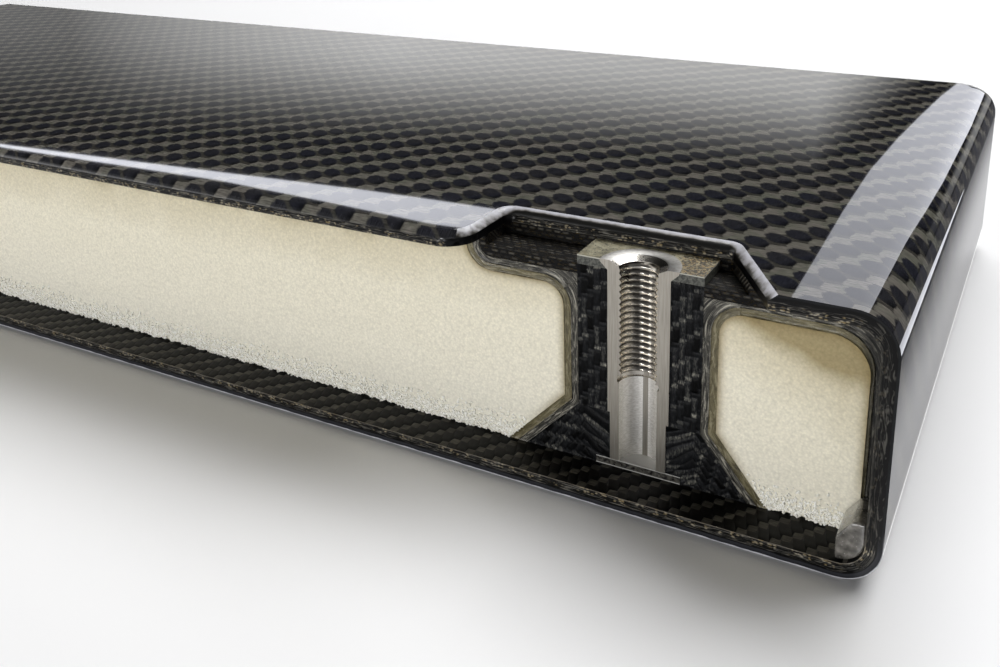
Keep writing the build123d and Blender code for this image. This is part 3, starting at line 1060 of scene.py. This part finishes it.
def fromContour(outline, x, z):
    # the run along an outline to its nearest point, and the distance from it
    best, run, bestRun = 1e9, 0.0, 0.0
    for (ax, az), (bx, bz) in zip(outline, outline[1:] + outline[:1]):
        dx, dz = bx - ax, bz - az
        length = math.hypot(dx, dz)
        share = max(0.0, min(1.0, ((x - ax) * dx + (z - az) * dz) / (length * length)))
        off = math.hypot(x - ax - dx * share, z - az - dz * share)
        if off < best:
            best, bestRun = off, run + share * length
        run += length
    return bestRun, best


def layerUv(mesh, outline):
    # the run along the foam's outline and the distance from it, for the front
    places = []
    for vert in mesh.vertices:
        x, y, z = vert.co
        places.append(fromContour(outline, x, z) if y < sectionY + 1 * mm else (x, z))
    uv = mesh.uv_layers.new(name="ply")
    for loop in mesh.loops:
        uv.data[loop.index].uv = places[loop.vertex_index]


def layerMaterial(form):
    # resin and plies in lines that follow the foam, wet-looking where the saw polished them
    material, add, shader = newMaterial(form["material"], form["surface"])
    streak = stretchedNoise(add, add("UVMap", {"uv_map": "ply"}), (2.4, form["ply"]), {
        "Detail": 5.0, "Roughness": 0.72, "Distortion": 0.5,
    })
    # against the end wall the same layer is nearly black
    _, x, _, _ = objectPlace(add)
    shade = add("MapRange", "LINEAR", x, endX - 6.4 * mm, endX - 4.8 * mm, 1.0, 0.3)
    colour = setStops(add("ValToRGB", {}, streak), form["stops"])
    colour = add("VectorMath", {"operation": "SCALE", "Scale": shade}, colour)
    finishShader(add, shader, colour, streak, 0.8, 0.15)
    return material


def layerStepAt(x):
    return layerStep["near" if x > layerStep["nearFromX"] * mm else "far"] * mm


def makeLayers():
    materials = {kind: layerMaterial(form) for kind, form in layers.items()}
    for side, outline in contours.items():

        def height(x, z):
            run, off = fromContour(outline, x, z)
            place = run / (layerWave["run"] * mm), off / (layerWave["off"] * mm), 1.5
            return (0.5 + 0.5 * noise.noise(Vector(place))) * layerWave["depth"] * mm

        for kind, form in layers.items():
            node = kind + "_" + side
            piece, _ = reliefPiece(node, node + "_face", layerStepAt, height)
            layerUv(piece.data, outline)
            finishPiece(piece, [materials[kind]], relief["sharpAngle"], node)


# Insert: turned stainless steel, sectioned, with a real right-hand helix.
insertForm = {
    "proud": 0.08,
    "mouthRadius": 4.6,
    "dishRadius": 4.3,
    "dishDepth": 0.14,
    "mouthDepth": 0.7,
    "crestRadius": 2.75,
    "rootRadius": 3.14,
    "pitch": 1.0,
    "runOut": 1.1,
    "threadBottom": 18.5,
    "ledge": 17.5,
    "grooveRadius": 3.4,
    "boreRadius": 3.1,
    "flangeRadius": 6.25,
    "flangeRim": 0.4,
    "flangeCone": 1.2,
    "bodyRadius": 5.0,
    "spigotRadius": 4.6,
    "spigotTop": 12.0,
    "plainStep": 0.9,
    "plainSteps": 15,
    "stepGap": 0.01,
    "samplesPerTurn": 12,
    "sides": 44,
    "sharpAngle": 38,
    "steel": "d6d1c8",
    "rootShade": "29241d",
}


def between(low, high, share):
    return low + (high - low) * share


def makeInsert():
    form = insertForm
    top, bottom = insertHigh[2] / mm, insertLow[2] / mm
    mouthEnd, dish = top - form["mouthDepth"], top - form["dishDepth"]
    rim = top - form["flangeRim"]
    cone = rim - form["flangeCone"]
    root, crest = form["rootRadius"], form["crestRadius"]

    def inner(angle, z):
        if z >= dish:
            return between(form["dishRadius"], form["mouthRadius"], (z - dish) / form["dishDepth"])
        if z > mouthEnd:
            return between(root, form["dishRadius"], (z - mouthEnd) / (dish - mouthEnd))
        if z > form["threadBottom"]:
            turn = (z / form["pitch"] - angle / (2 * math.pi)) % 1.0
            rise = 1 - abs(2 * turn - 1)
            fade = max(0.0, min(1.0, (mouthEnd - z) / form["runOut"] - 0.1))
            return root - fade * (root - crest) * rise ** 0.8
        return form["grooveRadius"] if z > form["ledge"] else form["boreRadius"]

    def outer(angle, z):
        if z >= rim:
            return form["flangeRadius"]
        if z > cone:
            share = (z - cone) / form["flangeCone"]
            return between(form["bodyRadius"], form["flangeRadius"], share)
        return form["bodyRadius"] if z > form["spigotTop"] else form["spigotRadius"]

    heights = {top, rim, cone, dish, mouthEnd, bottom}
    for level in (form["threadBottom"], form["ledge"], form["spigotTop"]):
        heights |= {level + form["stepGap"], level - form["stepGap"]}
    step = form["pitch"] / form["samplesPerTurn"]
    turns = int((mouthEnd - form["threadBottom"]) / step)
    heights |= {form["threadBottom"] + i * step for i in range(1, turns)}
    heights |= {bottom + i * form["plainStep"] for i in range(1, form["plainSteps"])}
    verts, faces, tone = [], [], []
    sides = form["sides"]
    for z in sorted(heights, reverse=True):
        for wall in (inner, outer):
            for i in range(sides + 1):
                angle = math.pi * i / sides
                radius = wall(angle, z)
                proud = form["proud"] if i in (0, sides) else 0
                y = sectionY + (radius * math.sin(angle) - proud) * mm
                verts.append((insertX + radius * math.cos(angle) * mm, y, z * mm))
                deep = wall is inner and mouthEnd > z > form["threadBottom"]
                tone.append((radius - crest) / (root - crest) if deep else 0.0)
    ring = 2 * (sides + 1)
    for row in range(len(heights) - 1):
        a, b = row * ring, (row + 1) * ring
        for i in range(sides):
            faces.append((a + i, a + i + 1, b + i + 1, b + i))
            c, d = a + sides + 1 + i, b + sides + 1 + i
            faces.append((c, d, d + 1, c + 1))
        faces.append((a, b, b + sides + 1, a + sides + 1))
        faces.append((a + sides, a + ring - 1, b + ring - 1, b + sides))
    for a in (0, (len(heights) - 1) * ring):
        faces += [(i, i + sides + 1, i + sides + 2, i + 1) for i in range(a, a + sides)]
    mesh = bpy.data.meshes.new("insert_steel")
    mesh.from_pydata(verts, [], faces)
    reworked(mesh, lambda work: bmesh.ops.recalc_face_normals(work, faces=work.faces))
    mesh.attributes.new("threadDepth", "FLOAT", "POINT").data.foreach_set("value", tone)
    piece = newPiece("insert_steel", mesh)
    steels = [turnedSteel(), sawnSteel(), facedSteel()]
    finishPiece(piece, steels, form["sharpAngle"], "threaded_insert")
    turned, sawn, faced = range(3)
    for polygon in mesh.polygons:
        height, normal = polygon.center.z, polygon.normal
        flat = normal.z > 0.6 and height > dish * mm or height < form["ledge"] * mm
        polygon.material_index = sawn if normal.y < -0.99 else faced if flat else turned


def turnedSteel():
    # turned stainless steel: bright crests, roots painted dark as shade, fine rings in the plain
    # bore
    material, add, shader = newMaterial("stainlessSteelTurned", {"Metallic": 1.0, "Roughness": 0.2})
    rings = stretchedNoise(add, objectPlace(add)[0], (50 / 3, 50 / 3, 0.18), {"Detail": 2.0})
    depth = add("Attribute", {"attribute_name": "threadDepth"}).outputs["Fac"]
    depth = add("MapRange", "LINEAR", depth, 0.35, 1.0, 0.0, 1.0)
    # painted shade: darker the deeper into the thread's root
    colour = add("Mix", "RGBA", depth, insertForm["steel"], insertForm["rootShade"])
    finishShader(add, shader, colour, rings, 0.15, 0.02)
    return material


def facedSteel():
    # the flange's face and the reamed bore: bead-blasted, without rings, painted darker towards the
    # flange's top as shade, the bore kept bright
    material, add, shader = newMaterial("stainlessSteelBlasted", {
        "Metallic": 1.0, "Roughness": 0.42,
    })
    place, _, _, z = objectPlace(add)
    grain = stretchedNoise(add, place, (0.5, 0.5, 0.15), {"Detail": 3.0})
    colour = setStops(add("ValToRGB", {}, grain), [(0.35, "d9d6d0"), (0.65, "f2f0ec")])
    # painted shade: the colour darkens from the ledge up to the flange's top
    shade = add("MapRange", "LINEAR", z, insertForm["ledge"] * mm, insertHigh[2], 1.0, 0.42)
    linkTo(shader, "Base Color", add("VectorMath", {"operation": "SCALE", "Scale": shade}, colour))
    return material


def sawnSteel():
    # the sectioned face: ground flat, satin, with faint upright scratches
    material, add, shader = newMaterial("stainlessSteelGround", {
        "Metallic": 1.0, "Roughness": 0.34,
    })
    scratch = stretchedNoise(add, objectPlace(add)[0], (0.12, 10, 4), {"Detail": 3.0})
    tones = [(0.35, "98938a"), (0.65, "aca79d")]
    linkTo(shader, "Base Color", setStops(add("ValToRGB", {}, scratch), tones))
    return material


# Hardpoint: the column and foot of thick woven laminate, sawn through; the tows stand
# upright in the column and fan out in the foot.
hardpointWeave = {
    "step": 0.14,
    "columnTow": 1.05,
    "footTow": 0.95,
    "towLength": 0.8,  # in tow widths
    "waver": 0.35,  # of a tow width, over features of "waverSize"
    "waverSize": 5.0,
    "footTurn": 38.0,  # how far the tows lean at the toes
    "fanHalf": 9.0,  # how far from the axis they reach that
    "fanHeight": 20.0,  # the height they fan out from
    "relief": 0.22,
    "backTone": 0.15,
    "stops": [(0.05, "040404"), (0.3, "1c1d1f"), (0.62, "54534e"), (0.95, "8f8c81")],
}


def weaveAt(a, b):
    # a twill of three over one in tow widths: the height of its surface, and its tone, painted
    # lighter on each tow's crown as shading
    i, j = math.floor(a), math.floor(b)
    step = (i - j) % 4
    inA, inB = a - i, b - j
    chance = noise.cell(Vector((i * 1.37, (j + step) * 2.11, 0.5)))
    if step < 3:
        along = (inB + 2 - step) / 3
        crown = 1 - abs(2 * inA - 1) ** 2.5
        height = (0.35 + 0.65 * crown) * (1 - abs(2 * along - 1) ** 6)
        return height, 0.1 + 0.3 * crown * (0.35 + 0.65 * chance)
    crown = 1 - abs(2 * inB - 1) ** 2
    return 0.5 * crown, 0.26 + 0.4 * crown * (0.3 + 0.7 * chance)


def columnPlace(x, z):
    tow = hardpointWeave["columnTow"] * mm
    size = hardpointWeave["waverSize"] * mm
    bend = hardpointWeave["waver"] * noise.noise(Vector((x, z, 0.0)) / size)
    return (x - insertX) / tow + bend, z / (tow * hardpointWeave["towLength"]) + bend


def footPlace(x, z):
    tow = hardpointWeave["footTow"] * mm
    dx, dz = x - insertX, z - insertLow[2] - hardpointWeave["fanHeight"] * mm
    share = max(-1.0, min(1.0, dx / (hardpointWeave["fanHalf"] * mm)))
    turn = math.radians(hardpointWeave["footTurn"]) * share
    across = dx * math.cos(turn) + dz * math.sin(turn)
    up = dz * math.cos(turn) - dx * math.sin(turn)
    return across / tow, up / (tow * hardpointWeave["towLength"])


def wovenMaterial():
    # sawn carbon weave, glossy where the saw glazed it: black tows, small grey tow ends
    material, add, shader = newMaterial("carbonWeaveSawn", {
        "Roughness": 0.36, "Specular IOR Level": 0.06,
    })
    tone = add("Attribute", {"attribute_name": "tone"}).outputs["Fac"]
    fibres = stretchedNoise(add, objectPlace(add)[0], (0.22, 0.5, 0.8), {
        "Detail": 3.0, "Roughness": 0.7,
    })
    tone = faded(add, tone, ("LINEAR", fibres, 0.3, 0.7, 0.35, 1.75))
    colour = setStops(add("ValToRGB", {}, tone), hardpointWeave["stops"])
    finishShader(add, shader, colour, fibres, 0.6, 0.1)
    return material


def makeHardpoint():
    material = wovenMaterial()
    for part, placeAt in (("column", columnPlace), ("foot", footPlace)):

        def height(x, z):
            return (1 - weaveAt(*placeAt(x, z))[0]) * hardpointWeave["relief"] * mm

        def toneAt(x, y, z):
            front = y < sectionY + 0.5 * mm
            return weaveAt(*placeAt(x, z))[1] if front else hardpointWeave["backTone"]

        node = "hardpoint_" + part
        piece, _ = reliefPiece(node, node + "_face", lambda x: hardpointWeave["step"] * mm, height)
        mesh = piece.data
        tones = [toneAt(*vert.co) for vert in mesh.vertices]
        mesh.attributes.new("tone", "FLOAT", "POINT").data.foreach_set("value", tones)
        finishPiece(piece, [material], relief["sharpAngle"], node)


# The pieces whose solids stay: their finishes.
pocketFinish = {
    "black": "050506", "dash": "55524b", "gold": "42371f",
    "row": 0.8, "run": 1.5, "shift": 0.37,
}
plateFinish = {
    "pale": "9a967f", "green": "666451", "speck": "1e1b15", "ochre": "94773f",
    "side": "262723", "sideGrain": "54554d", "line": "b4b2a6",
}


def doublerLaminate():
    # peel-ply laminate in the pocket: near-black with rows of short grey tow crossings
    material, add, shader = newMaterial("carbonLaminatePeelPly", {
        "Roughness": 0.45, "Specular IOR Level": 0.12,
    })
    place, x, y, z = objectPlace(add)
    row = add("Math", "DIVIDE", add("Math", "ADD", y, z), pocketFinish["row"] * mm)
    rowNumber = add("Math", "FLOOR", row)
    shift = add("Math", "MULTIPLY", rowNumber, pocketFinish["shift"])
    run = add("Math", "ADD", add("Math", "DIVIDE", x, pocketFinish["run"] * mm), shift)
    cell = add("CombineXYZ", {}, add("Math", "FLOOR", run), rowNumber)
    chance = add("TexWhiteNoise", {"noise_dimensions": "2D"}, cell).outputs["Value"]
    inRun, inRow = (
        add("Math", "ABSOLUTE", add("Math", "SUBTRACT", add("Math", "FRACT", value), 0.5))
        for value in (run, row)
    )
    dash = faded(
        add, add("MapRange", "LINEAR", inRun, 0.2, 0.42, 1.0, 0.0),
        ("LINEAR", inRow, 0.1, 0.3, 1.0, 0.0), ("LINEAR", chance, 0.2, 0.9, 0.0, 0.85),
    )
    colour = add("Mix", "RGBA", dash, pocketFinish["black"], pocketFinish["dash"])
    stray = stretchedNoise(add, place, (0.9, 0.3, 0.22), {"Detail": 3.0, "Distortion": 1.5})
    gold = add("MapRange", "LINEAR", stray, 0.56, 0.66, 0.0, 0.8)
    colour = add("Mix", "RGBA", gold, colour, pocketFinish["gold"])
    finishShader(add, shader, colour, add("Math", "ADD", dash, gold), 0.8, 0.15)
    return material


def groundPlate():
    # glass-filled laminate ground flush: pale grey-green resin, dark fibre specks, ochre burns
    material, add, shader = newMaterial("glassLaminateGround", {"Roughness": 0.38})
    place, x, _, z = objectPlace(add)
    mottle = add("TexNoise", {"Scale": 1 / (1.6 * mm), "Detail": 4.0}, place)
    tones = [(0.38, plateFinish["green"]), (0.6, plateFinish["pale"])]
    colour = setStops(add("ValToRGB", {}, mottle), tones)
    strokes = stretchedNoise(add, place, (1.1, 0.4, 1), {"Detail": 3.0, "Distortion": 2.5})
    right = add("MapRange", "SMOOTHSTEP", x, insertX + 2 * mm, insertX + 7 * mm, 0.15, 1.0)
    burn = faded(add, right, ("LINEAR", strokes, 0.45, 0.55, 0.0, 0.9))
    colour = add("Mix", "RGBA", burn, colour, plateFinish["ochre"])
    specks = add("TexNoise", {"Scale": 1 / (0.45 * mm), "Detail": 3.0, "Distortion": 0.8}, place)
    dark = add("Math", "MULTIPLY_ADD", right, 0.11, specks)
    dark = add("MapRange", "LINEAR", dark, 0.57, 0.63, 0.0, 0.92)
    colour = add("Mix", "RGBA", dark, colour, plateFinish["speck"])
    # its sides are dark laminate under a thin pale upper line
    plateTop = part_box("top_plate")[1][2]
    tones = [(0.4, plateFinish["side"]), (0.62, plateFinish["sideGrain"])]
    side = setStops(add("ValToRGB", {}, specks), tones)
    line, onTop = (
        add("MapRange", "LINEAR", z, plateTop - low * mm, plateTop - high * mm, 0.0, 1.0)
        for low, high in ((0.24, 0.14), (0.04, 0.02))
    )
    side = add("Mix", "RGBA", line, side, plateFinish["line"])
    finishShader(add, shader, add("Mix", "RGBA", onTop, side, colour), specks, 0.5, 0.1)
    return material


def padResin():
    # a resin-bonded washer seen on its edge: dark and glassy, with pale upper and lower lines
    material, add, shader = newMaterial("resinPadCast", {"Roughness": 0.18})
    place, _, _, z = objectPlace(add)
    padLow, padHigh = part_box("base_pad")
    off = add("Math", "ABSOLUTE", add("Math", "SUBTRACT", z, (padLow[2] + padHigh[2]) / 2))
    line = add("MapRange", "LINEAR", off, 0.44 * mm, 0.56 * mm, 0.0, 1.0)
    mottle = add("TexNoise", {"Scale": 1 / (0.6 * mm), "Detail": 3.0}, place)
    inside = setStops(add("ValToRGB", {}, mottle), [(0.4, "161514"), (0.6, "4a4843")])
    linkTo(shader, "Base Color", add("Mix", "RGBA", line, inside, "a5a4a0"))
    return material


def beadResin():
    # cured run-out resin: grey, milky and glossy, with trapped bubbles and fibre dust
    material, add, shader = newMaterial("epoxyRunOutCured", {
        "Roughness": 0.2, "Coat Weight": 1.0, "Coat Roughness": 0.06,
    })
    place, _, _, _ = objectPlace(add)
    cloud = add("TexNoise", {"Scale": 1 / (1.4 * mm), "Detail": 4.0}, place)
    tones = [(0.35, "3c3a36"), (0.55, "625f5a"), (0.7, "85817b")]
    colour = setStops(add("ValToRGB", {}, cloud), tones)
    bubbles = add("TexVoronoi", {"Scale": 1 / (0.5 * mm)}, place).outputs["Distance"]
    spot = add("MapRange", "LINEAR", bubbles, 0.05, 0.16, 0.5, 0.0)
    finishShader(add, shader, add("Mix", "RGBA", spot, colour, "d8d5cf"), cloud, 0.3, 0.2)
    return material


beadForm = {"flatAngle": 1, "rounding": 1.1, "segments": 5}


def makeBead():
    # the run-out bead with its edges drawn round, as cured resin has them
    piece = mergedCopy("resin_bead", "resin_bead_rounded")
    reworked(piece.data, lambda work: bmesh.ops.dissolve_limit(
        work, angle_limit=math.radians(beadForm["flatAngle"]), verts=work.verts, edges=work.edges))
    bevel = piece.modifiers.new("roundEdges", "BEVEL")
    bevel.limit_method = "ANGLE"
    bevel.width, bevel.segments = beadForm["rounding"] * mm, beadForm["segments"]
    bakeModifiers(piece)
    piece.data.materials.append(beadResin())
    piece.data.shade_smooth()
    dress(piece, ["resin_bead"])
    print(piece.name, "made,", len(piece.data.polygons), "faces")


def finishSolids():
    finishes = {
        "top_doubler": doublerLaminate(), "top_plate": groundPlate(), "base_pad": padResin(),
    }
    for node, material in finishes.items():
        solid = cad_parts[node]
        solid.data.materials.clear()
        solid.data.materials.append(material)
    print("finishes given to", len(finishes), "solids")


makeCamera()
makeWorld()
makeStudio()
print("camera and studio made")
makeSkin()
print("skin made")
makeFoam()
makeLayers()
makeInsert()
makeHardpoint()
makeBead()
finishSolids()

bpy.context.scene.view_settings.view_transform = "Standard"
